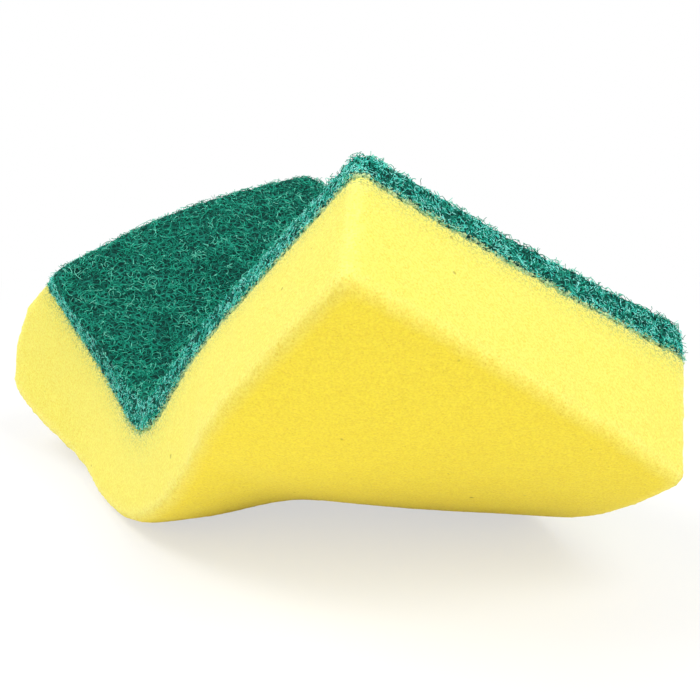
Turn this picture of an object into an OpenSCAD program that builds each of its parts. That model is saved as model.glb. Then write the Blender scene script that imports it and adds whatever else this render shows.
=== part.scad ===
// A cleaning sponge, a foam block with a scouring pad glued to one large face,
// folded over on itself with the pad on the inside.
// The flat sponge runs along u from its left end, along v from its near side,
// and h is the height over the glued face. Every point is laid through place().

/* [Sponge] */
// Length of the flat sponge
sponge_l = 110; // [98:1:125]
// Width of the flat sponge
sponge_w = 60; // [54:1:66]
// Thickness of the foam
foam_t = 21; // [18:0.5:24]
// Thickness of the scouring pad
pad_t = 6; // [4:0.5:7]
// Rounding of the foam's outer edges
foam_edge = 1.6; // [0.8:0.1:2.5]
// Rounding of the pad's outer edges
pad_edge = 1; // [0.5:0.1:1.5]
// Corner rounding in plan where foam and pad meet
plan_round = 1.5; // [0.8:0.1:2]
// Corner rounding in plan at the pad's outer face
pad_round = 3.5; // [2:0.5:4]

/* [Fold] */
// Angle the fold turns through
fold_angle = 101; // [90:1:108]
// Angle between the fold line and the short edges
fold_skew = 32.5; // [24:0.5:36]
// Length over which it turns, each side of the fold line
fold_reach = 58; // [54:1:66]
// How much wider the bend opens towards the far side, as a share
fold_taper = 0.34; // [0.1:0.02:0.36]
// Angle the left wing bends back, for each reach of the fold past it
left_back_angle = 35; // [12:1:38]
// Angle the right wing bends on, for each reach of the fold past it
right_on_angle = 12; // [0:1:17]
// Sag across the right wing
right_bow = 2; // [0:0.5:3]
// Depth the near side is pushed in at the fold
press = 8.4; // [4:0.2:9]
// Share of the foam's thickness lost where it is squeezed at the fold
squeeze_share = 0.28; // [0:0.02:0.34]

/* [Left end] */
// Spread of the foam past the near side at its outer face
spread = 11.6; // [6:0.2:12.4]
// How far the foam's end face is drawn in at its outer edge
end_inset = 2.2; // [0:0.2:4]
// How far the foam's near corner hangs below its outer face
end_drop = 1.6; // [0:0.2:3]
// Swelling of the foam's end face half way up
end_swell = 5; // [0:0.5:6]
// Bow of the whole end in plan
end_bow = 2.2; // [0:0.2:3]
// How far the pad's near corner is drawn in
pad_draw = 3.6; // [0:0.2:4]

/* [Set down] */
// Turn about x
set_x = -2; // [-20:0.5:20]
// Turn about y
set_y = -7.5; // [-20:0.5:20]
// Turn about z
set_z = -90; // [-180:1:180]
// How much the soft underside gives where it rests
rest_give = 0.6; // [0.4:0.1:1]

/* [Hidden] */
foam_col = "#FBE459";
pad_col = "#1A7A66";
// cells along and across each large face
nu = 36;
nv = 20;
// the cells beside each end are this wide, so that the corners round
rim_a = 1.2;
rim_b = 2.8;
// reach of the changes at the left end and at the fold
end_reach = 0.4 * sponge_w;
press_at = 0.418 * sponge_l;
press_reach_u = 0.25 * sponge_w;
press_reach_v = 0.36 * sponge_w;
squeeze_reach = 0.52 * sponge_w;
taper_len = 0.6 * sponge_w;
taper_soft = 0.83 * sponge_w;
// the bend is summed up in steps of this length, this far each way
step = 2;
span = 400;

function clamp(a, lo, hi) = min(hi, max(lo, a));
function bell(a, r) = exp(-(a / r) * (a / r));
function ramp(a) = a <= 0 ? 0 : a < 1 ? a * a / 2 : a - 0.5;

// direction of the sponge, in degrees, at a distance d across the fold line
function heading(d) =
    let (s = clamp(d / fold_reach, -1, 1))
    fold_angle / 2 * (s + sin(180 * s) / PI)
    + right_on_angle * ramp(d / fold_reach) + left_back_angle * ramp(-d / fold_reach);

// run and rise of the bend, summed outwards from the fold line
function summed(way) = [
    for (k = 0, x = 0, z = 0; k <= span / step;
         a = heading(way * (k + 0.5) * step),
         x = x + way * step * cos(a), z = z + way * step * sin(a), k = k + 1)
    [x, z]];
fore = summed(1);
aft = summed(-1);
function along(d) =
    let (t = d < 0 ? aft : fore, k = abs(d) / step, i = floor(k))
    t[i] + (k - i) * (t[i + 1] - t[i]);

// the glued face, bent
function glued(u, v) =
    let (
        across = (u - sponge_l / 2) * cos(fold_skew) - (v - sponge_w / 2) * sin(fold_skew),
        down = (u - sponge_l / 2) * sin(fold_skew) + (v - sponge_w / 2) * cos(fold_skew),
        open = 1 + fold_taper * down / taper_len / sqrt(1 + pow(down / taper_soft, 2)),
        p = open * along(across / open),
        a = heading(across / open),
        y = 2 * v / sponge_w - 1,
        right = clamp((u / sponge_l - 0.55) / 0.45, 0, 1.5),
        rise = right_bow * right * (1 - y * y)
            - press * bell(u - press_at, press_reach_u) * bell(v, press_reach_v)
    )
    [p[0] - sin(a) * rise, down, p[1] + cos(a) * rise];

// a point of the flat sponge, bent
function place(u, v, h) =
    let (
        depth = max(0, -h) / foam_t,
        tip = bell(u, end_reach),
        y = 2 * v / sponge_w - 1,
        near = tip * clamp(1 - v / sponge_w, 0, 1),
        thin = squeeze_share * bell(u - press_at - 0.3 * v, press_reach_u) * bell(v, squeeze_reach),
        uu = u + near * (end_inset * depth - 4 * end_swell * depth * (1 - depth))
            - end_bow * (1 - y * y) * tip
            + pad_draw * max(0, h) / pad_t * tip * bell(v, end_reach),
        vv = v - spread * depth * near,
        e = 0.3,
        n = cross(glued(uu + e, vv) - glued(uu - e, vv), glued(uu, vv + e) - glued(uu, vv - e))
    )
    glued(uu, vv) + n / norm(n) * (h * (h < 0 ? 1 - thin : 1) - end_drop * depth * near);

function set_down(p) =
    let (
        a = [p[0], p[1] * cos(set_x) - p[2] * sin(set_x), p[1] * sin(set_x) + p[2] * cos(set_x)],
        b = [a[0] * cos(set_y) + a[2] * sin(set_y), a[1], a[2] * cos(set_y) - a[0] * sin(set_y)]
    )
    [b[0] * cos(set_z) - b[1] * sin(set_z), b[0] * sin(set_z) + b[1] * cos(set_z), b[2]];

// distance of grid line k of n from the start of a side of length l
function line(k, n, l) =
    k == 0 ? 0 : k == 1 ? rim_a : k == n ? l : k == n - 1 ? l - rim_a
    : rim_b + (l - 2 * rim_b) * (k - 2) / (n - 4);

// grid point i, j of a level, which is a height and an inset
function laid(i, j, level) =
    let (
        h = level[0],
        r = plan_round + (pad_round - plan_round) * max(0, h) / pad_t,
        u = line(i, nu, sponge_l),
        v = line(j, nv, sponge_w),
        du = u - clamp(u, r, sponge_l - r),
        dv = v - clamp(v, r, sponge_w - r),
        k = du == 0 || dv == 0 ? 1 : max(abs(du), abs(dv)) / norm([du, dv]),
        ur = u - du * (1 - k),
        vr = v - dv * (1 - k)
    )
    set_down(place(
        level[1] + ur * (1 - 2 * level[1] / sponge_l),
        level[1] + vr * (1 - 2 * level[1] / sponge_w), h));

// the grid's rim, walked round from the left end of the near side
round_rim = 2 * (nu + nv);
function rim(p) =
    p < nu ? [p, 0] : p < nu + nv ? [nu, p - nu]
    : p < 2 * nu + nv ? [2 * nu + nv - p, nv] : [0, round_rim - p];

function skin(levels) = concat(
    [for (i = [0:nu], j = [0:nv]) laid(i, j, levels[0])],
    [for (i = [0:nu], j = [0:nv]) laid(i, j, levels[len(levels) - 1])],
    [for (k = [1:len(levels) - 2], p = [0:round_rim - 1]) laid(rim(p)[0], rim(p)[1], levels[k])]);

grid = (nu + 1) * (nv + 1);
function cell(i, j) = i * (nv + 1) + j;
function on_rim(k, p, last) =
    let (q = p % round_rim)
    k == 0 ? cell(rim(q)[0], rim(q)[1])
    : k == last ? grid + cell(rim(q)[0], rim(q)[1])
    : 2 * grid + (k - 1) * round_rim + q;

function faces(last) = concat(
    [for (i = [0:nu - 1], j = [0:nv - 1], t = [0, 1])
        t == 0 ? [cell(i, j), cell(i + 1, j), cell(i + 1, j + 1)]
        : [cell(i, j), cell(i + 1, j + 1), cell(i, j + 1)]],
    [for (i = [0:nu - 1], j = [0:nv - 1], t = [0, 1])
        [grid, grid, grid] + (t == 0 ? [cell(i, j), cell(i + 1, j + 1), cell(i + 1, j)]
        : [cell(i, j), cell(i, j + 1), cell(i + 1, j + 1)])],
    [for (k = [0:last - 1], p = [0:round_rim - 1], t = [0, 1])
        t == 0 ? [on_rim(k, p, last), on_rim(k + 1, p + 1, last), on_rim(k, p + 1, last)]
        : [on_rim(k, p, last), on_rim(k + 1, p, last), on_rim(k + 1, p + 1, last)]]);

foam_levels = concat(
    [for (a = [90, 60, 30, 0]) [foam_edge * (1 - sin(a)) - foam_t, foam_edge * (1 - cos(a))]],
    [for (k = [2, 1, 0]) [-foam_t * k / 3, 0]]);
pad_levels = [for (a = [-1, 0, 45, 90])
    a < 0 ? [0, 0] : [pad_t - pad_edge * (1 - sin(a)), pad_edge * (1 - cos(a))]];
foam_points = skin(foam_levels);
pad_points = skin(pad_levels);

// set on the floor with the middle of its footprint over the origin; the foam
// gives a little where it rests, so its lowest parts lie flat
every = concat(foam_points, pad_points);
function lows(k) = min([for (p = every) p[k]]);
function highs(k) = max([for (p = every) p[k]]);
settle = [-(lows(0) + highs(0)) / 2, -(lows(1) + highs(1)) / 2, -lows(2) - rest_give];
function rested(points) = [for (p = points) [p[0], p[1], max(p[2], -settle[2])] + settle];

module foam_block() {
    color(foam_col)
        polyhedron(points = rested(foam_points), faces = faces(len(foam_levels) - 1), convexity = 6);
}

module scouring_pad() {
    color(pad_col)
        polyhedron(points = rested(pad_points), faces = faces(len(pad_levels) - 1), convexity = 6);
}

foam_block();
scouring_pad();
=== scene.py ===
import math

import bpy
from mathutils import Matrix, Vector
from mathutils.bvhtree import BVHTree


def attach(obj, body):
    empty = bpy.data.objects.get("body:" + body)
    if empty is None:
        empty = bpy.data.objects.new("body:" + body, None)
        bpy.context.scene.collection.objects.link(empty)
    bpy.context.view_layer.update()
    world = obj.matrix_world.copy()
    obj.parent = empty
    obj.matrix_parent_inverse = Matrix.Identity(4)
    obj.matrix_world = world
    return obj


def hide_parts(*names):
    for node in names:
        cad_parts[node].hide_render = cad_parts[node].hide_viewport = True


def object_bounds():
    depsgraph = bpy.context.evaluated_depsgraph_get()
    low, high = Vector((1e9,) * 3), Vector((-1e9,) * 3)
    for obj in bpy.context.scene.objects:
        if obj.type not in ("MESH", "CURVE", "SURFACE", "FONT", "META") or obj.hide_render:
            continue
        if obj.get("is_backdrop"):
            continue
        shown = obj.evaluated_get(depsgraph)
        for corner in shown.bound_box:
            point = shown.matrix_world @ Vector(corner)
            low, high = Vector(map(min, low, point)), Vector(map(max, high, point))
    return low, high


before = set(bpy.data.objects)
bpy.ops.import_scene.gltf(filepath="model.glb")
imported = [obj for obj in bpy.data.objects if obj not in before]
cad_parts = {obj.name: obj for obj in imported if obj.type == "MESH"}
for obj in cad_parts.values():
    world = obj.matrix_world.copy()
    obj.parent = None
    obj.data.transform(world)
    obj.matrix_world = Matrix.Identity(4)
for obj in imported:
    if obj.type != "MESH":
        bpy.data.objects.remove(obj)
cad_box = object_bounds()
MM = 0.001


# Foam block: one piece of yellow open-cell polyurethane foam, sawn to size.
# Its skin is all cut cells, so it is pitted everywhere and a little uneven,
# with softened edges. It is bent round the fold with the pad on its inside.
foam_grain = 0.82 * MM
foam_uneven = 0.2 * MM
ridge_spread = 7
joint_fade = 1.9 * MM
pores_a_metre = 2600.0
flecks_a_metre = 3000.0
patches_a_metre = 1100.0
clouds_a_metre = 140.0
pits_a_metre = 260.0
dust_a_metre = 3300.0
waves_a_metre = 70.0
dents_a_metre = 900.0
cloud_tint = 0.12
ridge_highlight_share = 0.55
pore_shade_share = 0.85
pit_shade_share = 0.6
pit_spread = 0.36
pit_rarity = -0.22
dust_gain = 1.25
dust_least = 0.12
# the sawn sides' paler colour is painted light
foam_painted_light = (0.90, 0.85, 0.16, 1)
foam_face = (1.0, 0.82, 0.058, 1)
foam_tone_and_pore_shade = (0.78, 0.56, 0.035, 1)
foam_pit_shade = (0.34, 0.27, 0.015, 1)
# a painted highlight for the edges
foam_ridge_highlight = (1.0, 0.93, 0.27, 1)
foam_glued = (0.22, 0.35, 0.13, 1)


def node_in(tree, kind, fed=(), **settings):
    """adds a node; fed gives its inputs by name or number, as values or sockets"""
    made = tree.nodes.new(kind)
    for name, value in settings.items():
        setattr(made, name, value)
    for name, value in dict(fed).items():
        if isinstance(value, bpy.types.NodeSocket):
            tree.links.new(value, made.inputs[name])
        else:
            made.inputs[name].default_value = value
    return made


def maths(tree, operation, *terms):
    return node_in(tree, "ShaderNodeMath", enumerate(terms), operation=operation).outputs[0]


def times(tree, a, b):
    return maths(tree, "MULTIPLY", a, b)


def vector_maths(tree, operation, *terms):
    return node_in(tree, "ShaderNodeVectorMath", enumerate(terms), operation=operation).outputs[0]


def scaled(tree, vector, amount):
    return node_in(tree, "ShaderNodeVectorMath", {0: vector, "Scale": amount}, operation="SCALE").outputs[0]


def length_of(tree, vector):
    return node_in(tree, "ShaderNodeVectorMath", {0: vector}, operation="LENGTH").outputs["Value"]


def ranged(tree, value, low, high, bottom=0.0, top=1.0, smooth=False):
    """how far a value is from low to high, as a number from bottom to top"""
    fed = {"Value": value, "From Min": low, "From Max": high, "To Min": bottom, "To Max": top}
    way = "SMOOTHSTEP" if smooth else "LINEAR"
    return node_in(tree, "ShaderNodeMapRange", fed, interpolation_type=way).outputs[0]


def noise(tree, at, scale, detail, roughness=0.5, out="Fac"):
    fed = {"Vector": at, "Scale": scale, "Detail": detail, "Roughness": roughness}
    return node_in(tree, "ShaderNodeTexNoise", fed).outputs[out]


def point_number(tree, name):
    """a number kept at each point of a mesh, as a material reads it"""
    return node_in(tree, "ShaderNodeAttribute", attribute_name=name).outputs["Fac"]


def mixed(tree, share, a, b):
    """a colour that goes from a to b by a share"""
    return node_in(tree, "ShaderNodeMix", {0: share, 6: a, 7: b}, data_type="RGBA").outputs[2]


def new_finish(name, roughness):
    """a material with its shader and its object coordinates"""
    finish = bpy.data.materials.new(name)
    finish.use_nodes = True
    tree = finish.node_tree
    shader = tree.nodes["Principled BSDF"]
    shader.inputs["Roughness"].default_value = roughness
    place = node_in(tree, "ShaderNodeTexCoord").outputs["Object"]
    return finish, tree, shader, place


def new_tree(name, *wanted):
    """a Geometry Nodes tree that takes a mesh and the wanted kinds and names of input"""
    tree = bpy.data.node_groups.new(name, "GeometryNodeTree")
    for kind, label in (("Geometry", "Geometry"), *wanted):
        tree.interface.new_socket(label, in_out="INPUT", socket_type="NodeSocket" + kind)
    tree.interface.new_socket("Geometry", in_out="OUTPUT", socket_type="NodeSocketGeometry")
    return tree, tree.nodes.new("NodeGroupInput").outputs


def with_number(tree, geometry, name, value, domain="POINT"):
    """the geometry with a number kept on it under a name"""
    fed = {"Geometry": geometry, "Name": name, "Value": value}
    return node_in(tree, "GeometryNodeStoreNamedAttribute", fed, data_type="FLOAT", domain=domain).outputs[0]


def end_tree(tree, geometry, finish):
    """makes the instances real, sets the finish and gives the geometry out"""
    real = node_in(tree, "GeometryNodeRealizeInstances", {0: geometry}).outputs[0]
    coat = node_in(tree, "GeometryNodeSetMaterial", {"Geometry": real, "Material": finish}).outputs[0]
    node_in(tree, "NodeGroupOutput", {0: coat})


def apply_tree(piece, group, **values):
    """adds a node tree to a piece, with its inputs set by identifier"""
    made = piece.modifiers.new(group.name, "NODES")
    made.node_group = group
    for item in group.interface.items_tree:
        if item.item_type != "SOCKET" or item.in_out != "INPUT":
            continue
        key = item.name.replace(" ", "_")
        if key in values:
            made[item.identifier] = values[key]


def solid_copy(name, node):
    """a CAD node's mesh with its loose triangles joined"""
    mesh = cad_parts[node].data.copy()
    mesh.name = name
    mesh.materials.clear()
    piece = bpy.data.objects.new(name, mesh)
    bpy.context.scene.collection.objects.link(piece)
    weld = piece.modifiers.new("weld", "WELD")
    weld.merge_threshold = 0.01 * MM
    return piece


def even_grid(piece, spacing):
    """a new skin of evenly spaced faces over the piece"""
    remesh = piece.modifiers.new("even grid", "REMESH")
    remesh.mode = "VOXEL"
    remesh.voxel_size = spacing
    remesh.use_smooth_shade = True


def made_plain(piece):
    """bakes the modifiers of a piece into its mesh and takes them off"""
    graph = bpy.context.evaluated_depsgraph_get()
    mesh = bpy.data.meshes.new_from_object(piece.evaluated_get(graph))
    piece.modifiers.clear()
    piece.data = mesh
    return piece


def node_surface(node):
    """a CAD node's faces, to measure distances from"""
    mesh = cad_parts[node].data
    return BVHTree.FromPolygons([v.co for v in mesh.vertices], [p.vertices for p in mesh.polygons])


def eased(value, low, high):
    share = min(max((value - low) / (high - low), 0.0), 1.0)
    return share * share * (3 - 2 * share)


def set_on(piece, *nodes, slot, fill):
    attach(piece, "root")
    if nodes:
        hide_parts(*nodes)


foam_finish, tree, shader, place = new_finish("open_cell_foam", 0.85)
# pores are the middles of cells, darkened below as painted shade in their hollows, with random flecks besides
cells = node_in(tree, "ShaderNodeTexVoronoi", {"Vector": place, "Scale": pores_a_metre, "Randomness": 1.0})
pore = ranged(tree, cells.outputs["Distance"], 0.1, 0.6, 1.0, 0.0)
patchy = ranged(tree, noise(tree, place, patches_a_metre, 3.0, roughness=0.7), 0.38, 0.62)
flecks = ranged(tree, noise(tree, place, flecks_a_metre, 2.0), 0.38, 0.68)
speckle = maths(tree, "MAXIMUM", times(tree, pore, patchy), times(tree, flecks, 0.6))

# by chance, some cells of a wide pattern hold a pit, each of its own size, darkened as painted shade in its
# hollow
pits = node_in(tree, "ShaderNodeTexVoronoi", {"Vector": place, "Scale": pits_a_metre, "Randomness": 1.0})
chance = node_in(tree, "ShaderNodeSeparateColor", {0: pits.outputs["Color"]}).outputs[0]
reach = maths(tree, "MULTIPLY_ADD", chance, pit_spread, pit_rarity)
pit = ranged(tree, pits.outputs["Distance"], times(tree, reach, 0.3), reach, 1.0, 0.0, smooth=True)
pit = times(tree, pit, maths(tree, "GREATER_THAN", reach, 0.02))

# the colour: painted light on the sawn sides, a painted highlight on the edges, painted shade in pores and
# pits, and green dust by the pad
ridge = ranged(tree, point_number(tree, "ridge"), 0.02, 0.14)
dust = ranged(tree, noise(tree, place, dust_a_metre, 1.0), 0.46, 0.62)
dusty = maths(tree, "MULTIPLY_ADD", dust, dust_gain, dust_least)
dusty = times(tree, dusty, point_number(tree, "joint"))
skin = mixed(tree, point_number(tree, "cut"), foam_face, foam_painted_light)
skin = mixed(tree, times(tree, noise(tree, place, clouds_a_metre, 3.0), cloud_tint), skin, foam_tone_and_pore_shade)
# the edges are painted brighter, a painted highlight
skin = mixed(tree, times(tree, ridge, ridge_highlight_share), skin, foam_ridge_highlight)
# pores darkened as painted shade, and flecks as random tone
skin = mixed(tree, times(tree, speckle, pore_shade_share), skin, foam_tone_and_pore_shade)
skin = mixed(tree, maths(tree, "MINIMUM", dusty, 1.0), skin, foam_glued)
# pits darkened as painted shade
skin = mixed(tree, times(tree, pit, pit_shade_share), skin, foam_pit_shade)
tree.links.new(skin, shader.inputs["Base Color"])
height = maths(tree, "ADD", times(tree, speckle, -0.7), times(tree, pit, -1.5))
bump = node_in(tree, "ShaderNodeBump", {"Height": height, "Strength": 0.5, "Distance": 0.25 * MM})
tree.links.new(bump.outputs["Normal"], shader.inputs["Normal"])
shader.inputs["Subsurface Weight"].default_value = 0.2
shader.inputs["Subsurface Radius"].default_value = (1.0, 0.75, 0.12)
shader.inputs["Subsurface Scale"].default_value = 1.2 * MM
shader.inputs["Sheen Weight"].default_value = 0.1
shader.inputs["Sheen Roughness"].default_value = 0.6
shader.inputs["Specular IOR Level"].default_value = 0.1

foam = solid_copy("foam_block_skin", "foam_block")
even_grid(foam, foam_grain)
soften = foam.modifiers.new("soften", "SMOOTH")
soften.factor = 0.5
soften.iterations = 2

# waves and dents move the skin in and out, and where blurred normals come out short it has an edge
skin_tree, given = new_tree("Uneven foam", ("Float", "Unevenness"), ("Int", "Ridge spread"),
                            ("Material", "Finish"))
spot = node_in(skin_tree, "GeometryNodeInputPosition").outputs[0]
normal = node_in(skin_tree, "GeometryNodeInputNormal").outputs[0]
waves = maths(skin_tree, "SUBTRACT", noise(skin_tree, spot, waves_a_metre, 2.0), 0.55)
dents = maths(skin_tree, "SUBTRACT", noise(skin_tree, spot, dents_a_metre, 1.0), 0.6)
rise = maths(skin_tree, "ADD", waves, times(skin_tree, dents, 0.9))
shift = scaled(skin_tree, normal, times(skin_tree, rise, given["Unevenness"]))
moved = node_in(skin_tree, "GeometryNodeSetPosition", {"Geometry": given["Geometry"], "Offset": shift})
blurred = node_in(skin_tree, "GeometryNodeBlurAttribute",
                  {"Value": normal, "Iterations": given["Ridge spread"]}, data_type="FLOAT_VECTOR").outputs[0]
edge = maths(skin_tree, "SUBTRACT", 1.0, length_of(skin_tree, blurred))
end_tree(skin_tree, with_number(skin_tree, moved.outputs[0], "ridge", edge), given["Finish"])

apply_tree(foam, skin_tree, Unevenness=foam_uneven, Ridge_spread=ridge_spread, Finish=foam_finish)
made_plain(foam)

# a point's normal runs across the way to the pad on the sawn sides, and along it on the big face
pad_at = node_surface("scouring_pad")
# how much a point is on a sawn side, where the colour is made paler as painted light
cut = foam.data.attributes.new("cut", "FLOAT", "POINT").data
joint = foam.data.attributes.new("joint", "FLOAT", "POINT").data
for k, vertex in enumerate(foam.data.vertices):
    glued, _, _, off = pad_at.find_nearest(vertex.co)
    along = (vertex.co - glued).normalized().dot(vertex.normal)
    cut[k].value = 1 - eased(along, 0.3, 0.9)
    joint[k].value = math.exp(-off / joint_fade)
set_on(foam, "foam_block", slot="foam", fill=0.9)


# Scouring pad, the mat itself: a green non-woven web of nylon fibres bonded
# with resin, about 6 mm thick, glued to the foam. The deeper fibres are one
# rough body here, coloured dark as painted shade of the web's depth, just
# under the curled ones that lie on its surface.
mat_grain = 0.88 * MM
mat_set_in = 0.12 * MM
mat_seam = -0.3 * MM
mat_rough = 0.9 * MM
mat_bends = 1.6 * MM
bends_a_metre = 420.0
threads_a_metre = (760.0, 1350.0)
mottles_a_metre = 260.0
specks_a_metre = 2400.0
lumps_a_metre = 480.0
finer_web_share = 0.75
mottle_gain = 1.5
speck_gain = 2.2
glue_limit = 4.0
mat_gap_shade = (0.0015, 0.030, 0.024, 1)
mat_mid = (0.004, 0.115, 0.080, 1)
mat_light = (0.020, 0.30, 0.21, 1)
mat_glued = (0.66, 0.84, 0.40, 1)


def stepped(tree, share, stops):
    """a colour ramp through (place, colour) stops"""
    ramp = node_in(tree, "ShaderNodeValToRGB", {"Fac": share})
    band = ramp.color_ramp
    while len(band.elements) < len(stops):
        band.elements.new(0.5)
    for element, (place, colour) in zip(band.elements, stops):
        element.position = place
        element.color = colour
    return ramp.outputs["Color"]


mat_finish, tree, shader, place = new_finish("bonded_web", 0.8)
bend = vector_maths(tree, "SUBTRACT", noise(tree, place, bends_a_metre, 2.0, out="Color"), (0.5, 0.5, 0.5))
bent = vector_maths(tree, "ADD", place, scaled(tree, bend, mat_bends))
webs = []
for scale in threads_a_metre:
    web = node_in(tree, "ShaderNodeTexVoronoi", {"Vector": bent, "Scale": scale}, feature="DISTANCE_TO_EDGE")
    webs.append(ranged(tree, web.outputs["Distance"], 0.03, 0.13, 1.0, 0.0))
strand = maths(tree, "MAXIMUM", webs[0], times(tree, webs[1], finer_web_share))
strand = times(tree, strand, times(tree, noise(tree, place, mottles_a_metre, 4.0), mottle_gain))
# the mat is coloured dark as painted shade of the web's depth, darkest between its threads
green = stepped(tree, strand, [(0.0, mat_gap_shade), (0.5, mat_mid), (1.0, mat_light)])

# the glue's pale edge is broken up by specks, and keeps close to the foam
glued = point_number(tree, "joint")
specks = maths(tree, "SUBTRACT", noise(tree, place, specks_a_metre, 2.0), 0.5)
ragged = ranged(tree, maths(tree, "MULTIPLY_ADD", specks, speck_gain, glued), 0.3, 0.7)
ragged = maths(tree, "MINIMUM", ragged, times(tree, glued, glue_limit))
tree.links.new(mixed(tree, ragged, green, mat_glued), shader.inputs["Base Color"])
bump = node_in(tree, "ShaderNodeBump", {"Height": strand, "Strength": 0.9, "Distance": 0.4 * MM})
tree.links.new(bump.outputs["Normal"], shader.inputs["Normal"])
shader.inputs["Specular IOR Level"].default_value = 0.08

# the mat is set in a little, but swells at the seam to fill it up to the foam
mat_tree, given = new_tree("Ragged mat", ("Object", "Foam"), ("Float", "Set in"), ("Float", "Seam"),
                           ("Float", "Roughness"), ("Material", "Finish"))
block = node_in(mat_tree, "GeometryNodeObjectInfo", {"Object": given["Foam"]}).outputs["Geometry"]
off = node_in(mat_tree, "GeometryNodeProximity", {0: block}, target_element="FACES").outputs["Distance"]
inset = ranged(mat_tree, off, 0.2 * MM, 1.4 * MM, given["Seam"], given["Set in"], smooth=True)
spot = node_in(mat_tree, "GeometryNodeInputPosition").outputs[0]
normal = node_in(mat_tree, "GeometryNodeInputNormal").outputs[0]
lumps = maths(mat_tree, "SUBTRACT", noise(mat_tree, spot, lumps_a_metre, 3.0), 0.5)
rise = maths(mat_tree, "SUBTRACT", times(mat_tree, lumps, given["Roughness"]), inset)
moved = node_in(mat_tree, "GeometryNodeSetPosition",
                {"Geometry": given["Geometry"], "Offset": scaled(mat_tree, normal, rise)})
close = ranged(mat_tree, off, 0.1 * MM, 0.9 * MM, 1.0, 0.0)
end_tree(mat_tree, with_number(mat_tree, moved.outputs[0], "joint", close), given["Finish"])

mat = solid_copy("scouring_pad_mat", "scouring_pad")
even_grid(mat, mat_grain)
apply_tree(mat, mat_tree, Foam=foam, Set_in=mat_set_in, Seam=mat_seam, Roughness=mat_rough, Finish=mat_finish)
made_plain(mat)
set_on(mat, "scouring_pad", slot="pad", fill=0.9)


# The pad's fibres: each is a nylon thread crimped into curls, lying on the mat
# and woven in and out of it. Those on the cut sides are shorter and paler, and
# the blade left some lying over the foam's edge and a few standing loose.
fibre_shapes = 5
fibre_sides = 3
shortest = 0.6
longest = 1.4
bare_share = 0.25
noise_apart = 977.0
touching = 0.05 * MM
outer_skin = 0.1 * MM
side_reach = 5.0 * MM
face_start = 4.7 * MM
face_end = 20 * MM
strip_on_pad = -0.9 * MM
strip_on_foam = 1.1 * MM
tufts_a_metre = 520.0
wander_a_metre = 330.0
weave_a_metre = 800.0
worn_a_metre = 300.0
face_greens = [(0.15, (0.002, 0.080, 0.055, 1)), (0.42, (0.005, 0.28, 0.18, 1)),
               (0.68, (0.022, 0.52, 0.34, 1)), (0.92, (0.22, 0.82, 0.62, 1))]
side_greens = [(0.15, (0.003, 0.14, 0.105, 1)), (0.38, (0.022, 0.54, 0.42, 1)),
               (0.56, (0.09, 0.85, 0.70, 1)), (0.80, (0.36, 0.97, 0.88, 1))]
joint_greens = [(0.15, (0.05, 0.32, 0.19, 1)), (0.45, (0.34, 0.70, 0.38, 1)),
                (0.85, (0.76, 0.93, 0.55, 1))]

pad_skin = made_plain(solid_copy("pad_skin", "scouring_pad"))
foam_at = node_surface("foam_block")


def off_foam(side):
    return foam_at.find_nearest(side.center)[3]


def new_bed(name, corners, sides, rooted):
    """a surface for fibres to lie on, which they grow from where it is rooted"""
    mesh = bpy.data.meshes.new(name)
    mesh.from_pydata(corners, [], sides)
    mesh.attributes.new("rooted", "FLOAT", "FACE").data.foreach_set("value", rooted)
    made = bpy.data.objects.new(name, mesh)
    bpy.context.scene.collection.objects.link(made)
    return made


def skin_bed(name, low, high):
    """the pad's outer skin, rooted between two distances from the foam"""
    outer = [p for p in pad_skin.data.polygons if off_foam(p) > outer_skin]
    return new_bed(name, [v.co for v in pad_skin.data.vertices], [p.vertices[:] for p in outer],
                   [float(low < off_foam(p) <= high) for p in outer])


def joint_bed(name, start, end):
    """a band on the cut sides along the seam, from start to end as measured from pad to foam"""
    rim = {}
    for side in pad_skin.data.polygons:
        if off_foam(side) < touching:
            for edge in side.edge_keys:
                rim.setdefault(edge, []).append(side)
    corners = []
    sides = []
    for (a, b), (side, *others) in rim.items():
        if others:
            continue
        a, b = (pad_skin.data.vertices[v].co for v in (a, b))
        if (b - a).cross(side.normal).dot((a + b) / 2 - side.center) < 0:
            a, b = b, a
        sides.append(range(len(corners), len(corners) + 4))
        near = side.normal * start
        far = side.normal * end
        corners += [a + near, b + near, b + far, a + far]
    return new_bed(name, corners, sides, [1.0] * len(sides))


fibre_tree, given = new_tree(
    "Curled fibres", ("Float", "Density"), ("Float", "Length"), ("Float", "Thickness"), ("Float", "Curl"),
    ("Float", "Wander"), ("Float", "Low"), ("Float", "High"), ("Float", "Stand"),
    ("Int", "Points"), ("Int", "Seed"), ("Material", "Finish"))


def drawn(low, high, offset):
    """a random number for each fibre, from the tree's seed"""
    seed = maths(fibre_tree, "ADD", given["Seed"], offset)
    fed = {2: low, 3: high, 8: seed}
    return node_in(fibre_tree, "FunctionNodeRandomValue", fed, data_type="FLOAT").outputs[1]


def named_number(name):
    """a number kept on the geometry, as the tree reads it"""
    read = node_in(fibre_tree, "GeometryNodeInputNamedAttribute", {"Name": name}, data_type="FLOAT")
    return read.outputs[0]


def own_noise(at, own, scale, detail, out):
    """noise that differs from thread to thread"""
    fed = {"Vector": at, "W": own, "Scale": scale, "Detail": detail}
    return node_in(fibre_tree, "ShaderNodeTexNoise", fed, noise_dimensions="4D").outputs[out]


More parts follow.
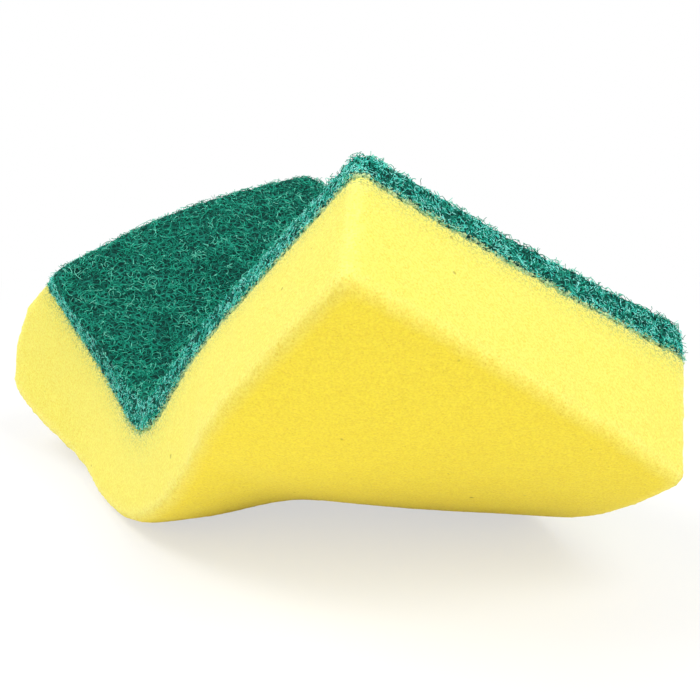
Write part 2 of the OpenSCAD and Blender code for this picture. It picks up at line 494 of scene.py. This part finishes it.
# a straight thread, crimped into a few shapes with more turns and tighter curls
half = times(fibre_tree, given["Length"], 0.5)
start = node_in(fibre_tree, "ShaderNodeCombineXYZ", {0: times(fibre_tree, half, -1.0)}).outputs[0]
end = node_in(fibre_tree, "ShaderNodeCombineXYZ", {0: half}).outputs[0]
line = node_in(fibre_tree, "GeometryNodeCurvePrimitiveLine", {"Start": start, "End": end}).outputs[0]
line = node_in(fibre_tree, "GeometryNodeResampleCurve", {"Curve": line, "Count": given["Points"]}).outputs[0]
along = node_in(fibre_tree, "GeometryNodeSplineParameter").outputs["Factor"]
threads = node_in(fibre_tree, "GeometryNodeJoinGeometry")
for k in range(fibre_shapes):
    turns = 0.45 + 0.25 * k
    turn = maths(fibre_tree, "MULTIPLY_ADD", along, 2 * math.pi * turns, 1.3 * k)
    radius = times(fibre_tree, given["Curl"], 1.3 - 0.16 * k)
    swing = node_in(fibre_tree, "ShaderNodeCombineXYZ",
                    {0: times(fibre_tree, radius, maths(fibre_tree, "COSINE", turn)),
                     1: times(fibre_tree, radius, maths(fibre_tree, "SINE", turn))}).outputs[0]
    crimped = node_in(fibre_tree, "GeometryNodeSetPosition", {"Geometry": line, "Offset": swing})
    one = node_in(fibre_tree, "GeometryNodeGeometryToInstance", {0: crimped.outputs[0]})
    fibre_tree.links.new(one.outputs[0], threads.inputs[0])

# the threads lie in tufts, each turned its own way
rooted = named_number("rooted")
roots = node_in(fibre_tree, "GeometryNodeDistributePointsOnFaces",
                {"Mesh": given["Geometry"], "Selection": maths(fibre_tree, "GREATER_THAN", rooted, 0.5),
                 "Density": given["Density"], "Seed": given["Seed"]})
spin = node_in(fibre_tree, "ShaderNodeCombineXYZ", {2: drawn(0.0, 2 * math.pi, 11)}).outputs[0]
spin = node_in(fibre_tree, "FunctionNodeEulerToRotation", {0: spin}).outputs[0]
spin = node_in(fibre_tree, "FunctionNodeRotateRotation",
               {0: roots.outputs["Rotation"], 1: spin}, rotation_space="LOCAL").outputs[0]
spot = node_in(fibre_tree, "GeometryNodeInputPosition").outputs[0]
tufts = ranged(fibre_tree, noise(fibre_tree, spot, tufts_a_metre, 1.0), 0.40, 0.58, bare_share, 1.0)
tufted = maths(fibre_tree, "LESS_THAN", drawn(0.0, 1.0, 15), tufts)
which = node_in(fibre_tree, "FunctionNodeRandomValue",
                {4: 0, 5: fibre_shapes - 1, 8: 14}, data_type="INT").outputs[2]
laid = node_in(fibre_tree, "GeometryNodeInstanceOnPoints",
               {"Points": roots.outputs["Points"], "Instance": threads.outputs[0], "Pick Instance": True,
                "Instance Index": which, "Selection": tufted, "Rotation": spin,
                "Scale": drawn(shortest, longest, 12)}).outputs[0]
laid = with_number(fibre_tree, laid, "own", drawn(0.0, 1.0, 13), domain="INSTANCE")
real = node_in(fibre_tree, "GeometryNodeRealizeInstances", {0: laid}).outputs[0]
own = named_number("own")

# each thread wanders a little, hugs the bed and dips in and out of it, and may end up standing
spot = node_in(fibre_tree, "GeometryNodeInputPosition").outputs[0]
key = times(fibre_tree, own, noise_apart)
wander = own_noise(spot, key, wander_a_metre, 1.0, "Color")
wander = vector_maths(fibre_tree, "SUBTRACT", wander, (0.5, 0.5, 0.5))
wander = vector_maths(fibre_tree, "ADD", spot, scaled(fibre_tree, wander, given["Wander"]))
near = node_in(fibre_tree, "GeometryNodeProximity",
               {0: given["Geometry"], "Sample Position": wander}, target_element="FACES").outputs["Position"]
normal = node_in(fibre_tree, "GeometryNodeInputNormal").outputs[0]
up = node_in(fibre_tree, "GeometryNodeSampleNearestSurface",
             {"Mesh": given["Geometry"], "Value": normal, "Sample Position": wander},
             data_type="FLOAT_VECTOR").outputs[0]
weave = ranged(fibre_tree, own_noise(spot, key, weave_a_metre, 0.0, "Fac"), 0.3, 0.7)
stand = times(fibre_tree, maths(fibre_tree, "SUBTRACT", along, weave), given["Stand"])
weave = maths(fibre_tree, "ADD", weave, stand)
lift = ranged(fibre_tree, weave, 0.0, 1.0, given["Low"], given["High"])
final = vector_maths(fibre_tree, "ADD", near, scaled(fibre_tree, up, lift))
bent = node_in(fibre_tree, "GeometryNodeSetPosition", {"Geometry": real, "Position": final}).outputs[0]
# each thread has its own random tone, and is darker where it dips into the mat, as painted shade
shade = maths(fibre_tree, "ADD", times(fibre_tree, own, 0.5), times(fibre_tree, weave, 0.5))
bent = with_number(fibre_tree, bent, "tint", shade)
profile = node_in(fibre_tree, "GeometryNodeCurvePrimitiveCircle",
                  {"Resolution": fibre_sides, "Radius": times(fibre_tree, given["Thickness"], 0.5)})
tube = node_in(fibre_tree, "GeometryNodeCurveToMesh",
               {"Curve": bent, "Profile Curve": profile.outputs[0], "Fill Caps": True}).outputs[0]
end_tree(fibre_tree, tube, given["Finish"])


def fibre_finish(name, stops):
    """a dull thread whose colour goes by its own tone, with painted shade where it dips into the mat"""
    finish, tree, shader, place = new_finish(name, 0.55)
    thread_tone_and_shade = maths(tree, "SUBTRACT", noise(tree, place, worn_a_metre, 2.0), 0.5)
    thread_tone_and_shade = maths(tree, "MULTIPLY_ADD", thread_tone_and_shade, 0.6, point_number(tree, "tint"))
    tree.links.new(stepped(tree, thread_tone_and_shade, stops), shader.inputs["Base Color"])
    shader.inputs["Specular IOR Level"].default_value = 0.12
    return finish


def grow(name, on, finish, seed, count, points, length, thickness, curl, wander, low, high, stand=0.0):
    """fibres grown on a bed, as one plain piece; lengths in mm"""
    rooted = on.data.attributes["rooted"].data
    area = sum(p.area for p in on.data.polygons if rooted[p.index].value > 0.5)
    piece = bpy.data.objects.new(name, on.data.copy())
    bpy.context.scene.collection.objects.link(piece)
    apply_tree(piece, fibre_tree, Density=count / area, Length=length * MM, Thickness=thickness * MM,
               Curl=curl * MM, Wander=wander * MM, Low=low * MM, High=high * MM, Stand=stand,
               Points=points, Seed=seed, Finish=finish)
    made_plain(piece)
    set_on(piece, slot="pad", fill=0.9)


face_finish = fibre_finish("face_fibres", face_greens)
side_finish = fibre_finish("side_fibres", side_greens)
joint_finish = fibre_finish("joint_fibres", joint_greens)
pad_face = skin_bed("pad_face", face_start, face_end)
pad_side = skin_bed("pad_side", outer_skin, side_reach)
joint_strip = joint_bed("joint_strip", strip_on_pad, strip_on_foam)
for k in range(3):
    grow(f"face_fibres_{k + 1}", pad_face, face_finish, seed=20 + k, count=5600, points=8, length=2.1,
         thickness=0.11, curl=0.42, wander=2.2, low=-0.65 + 0.15 * k, high=0.22 + 0.1 * k)
for k in range(2):
    grow(f"side_fibres_{k + 1}", pad_side, side_finish, seed=31 + k, count=12500, points=3, length=0.55,
         thickness=0.095, curl=0.06, wander=0.9, low=-0.35 + 0.1 * k, high=0.1 + 0.1 * k)
grow("strewn_fibres", joint_strip, joint_finish, seed=45, count=3800, points=3, length=0.35,
     thickness=0.10, curl=0.04, wander=0.4, low=-0.15, high=0.12)
for name, on, seed in (("loose_side_fibres", pad_side, 51), ("loose_face_fibres", pad_face, 52)):
    grow(name, on, face_finish, seed=seed, count=1300, points=4, length=0.7,
         thickness=0.10, curl=0.10, wander=0.9, low=-0.3, high=0.75, stand=0.85)
for spare in (pad_skin, pad_face, pad_side, joint_strip):
    bpy.data.objects.remove(spare)


# Floor: a flat sheet of matt white paper that reaches far out of sight. Near the
# sponge it takes the shadow, and away from it the camera sees it as plain white.
floor_reach = 60.0
shadow_reach = 0.04
white_from = 0.20
white_least = 0.6
floor_mesh = bpy.data.meshes.new("floor")
floor_corners = [(-floor_reach, -floor_reach, 0), (floor_reach, -floor_reach, 0),
                 (floor_reach, floor_reach, 0), (-floor_reach, floor_reach, 0)]
floor_mesh.from_pydata(floor_corners, [], [(0, 1, 2, 3)])
floor = bpy.data.objects.new("floor", floor_mesh)
bpy.context.scene.collection.objects.link(floor)


def seen_ray(tree):
    """1 on rays that show the background: the camera's, and those off gloss and through glass"""
    rays = node_in(tree, "ShaderNodeLightPath").outputs
    bounced = maths(tree, "MAXIMUM", rays["Is Glossy Ray"], rays["Is Transmission Ray"])
    return maths(tree, "MAXIMUM", rays["Is Camera Ray"], bounced)


sheet, tree, shader, place = new_finish("white_sheet", 0.9)
shader.inputs["Base Color"].default_value = (0.88, 0.88, 0.88, 1)
fade = ranged(tree, length_of(tree, place), shadow_reach, white_from, white_least, 1.0, smooth=True)
glow = node_in(tree, "ShaderNodeEmission", {"Color": (1, 1, 1, 1), "Strength": 1.0}).outputs[0]
both = node_in(tree, "ShaderNodeMixShader",
               {0: times(tree, seen_ray(tree), fade), 1: shader.outputs[0], 2: glow}).outputs[0]
tree.links.new(both, tree.nodes["Material Output"].inputs["Surface"])
floor_mesh.materials.append(sheet)
floor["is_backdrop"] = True


# Room and lamps: an even pale room that shows as pure white, and two large soft
# lamps high up, one at the front on the right and one on the left.
room_level = 0.6
shown_level = 1.0
lamps_aim = (0, 0, 0.03)

world = bpy.data.worlds.new("room")
bpy.context.scene.world = world
world.use_nodes = True
tree = world.node_tree
tree.nodes.clear()
level = maths(tree, "MULTIPLY_ADD", seen_ray(tree), shown_level - room_level, room_level)
back = node_in(tree, "ShaderNodeBackground", {"Color": (1, 1, 1, 1), "Strength": level})
node_in(tree, "ShaderNodeOutputWorld", {"Surface": back.outputs[0]})


def soft_lamp(name, spot, size, power):
    """a square lamp that faces the sponge"""
    data = bpy.data.lights.new(name, "AREA")
    data.shape = "SQUARE"
    data.size = size
    data.energy = power
    lamp = bpy.data.objects.new(name, data)
    lamp.location = spot
    lamp.rotation_euler = (Vector(lamps_aim) - Vector(spot)).to_track_quat("-Z", "Y").to_euler()
    bpy.context.scene.collection.objects.link(lamp)


soft_lamp("key_light", (0.30, -0.26, 0.52), size=0.30, power=2.05)
soft_lamp("fill_light", (-0.42, 0.04, 0.60), size=0.35, power=2.7)


# Camera: a short telephoto in front of the sponge and a little above it, at the
# place and turn that match the outlines in the photograph.
eye = bpy.data.cameras.new("camera")
eye.lens = 65.5
eye.sensor_width = 36.0
eye.clip_start = 0.01
camera = bpy.data.objects.new("camera", eye)
bpy.context.scene.collection.objects.link(camera)
camera.rotation_euler = [math.radians(a) for a in (73.963, 1.007, -0.067)]
camera.location = (0.00929, -0.21274, 0.08796)
bpy.context.scene.camera = camera

bpy.context.scene.view_settings.view_transform = "Standard"
plain = lambda box: [[float(a) for a in corner] for corner in box]
{"cad": plain(cad_box), "visual": plain(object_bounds())}
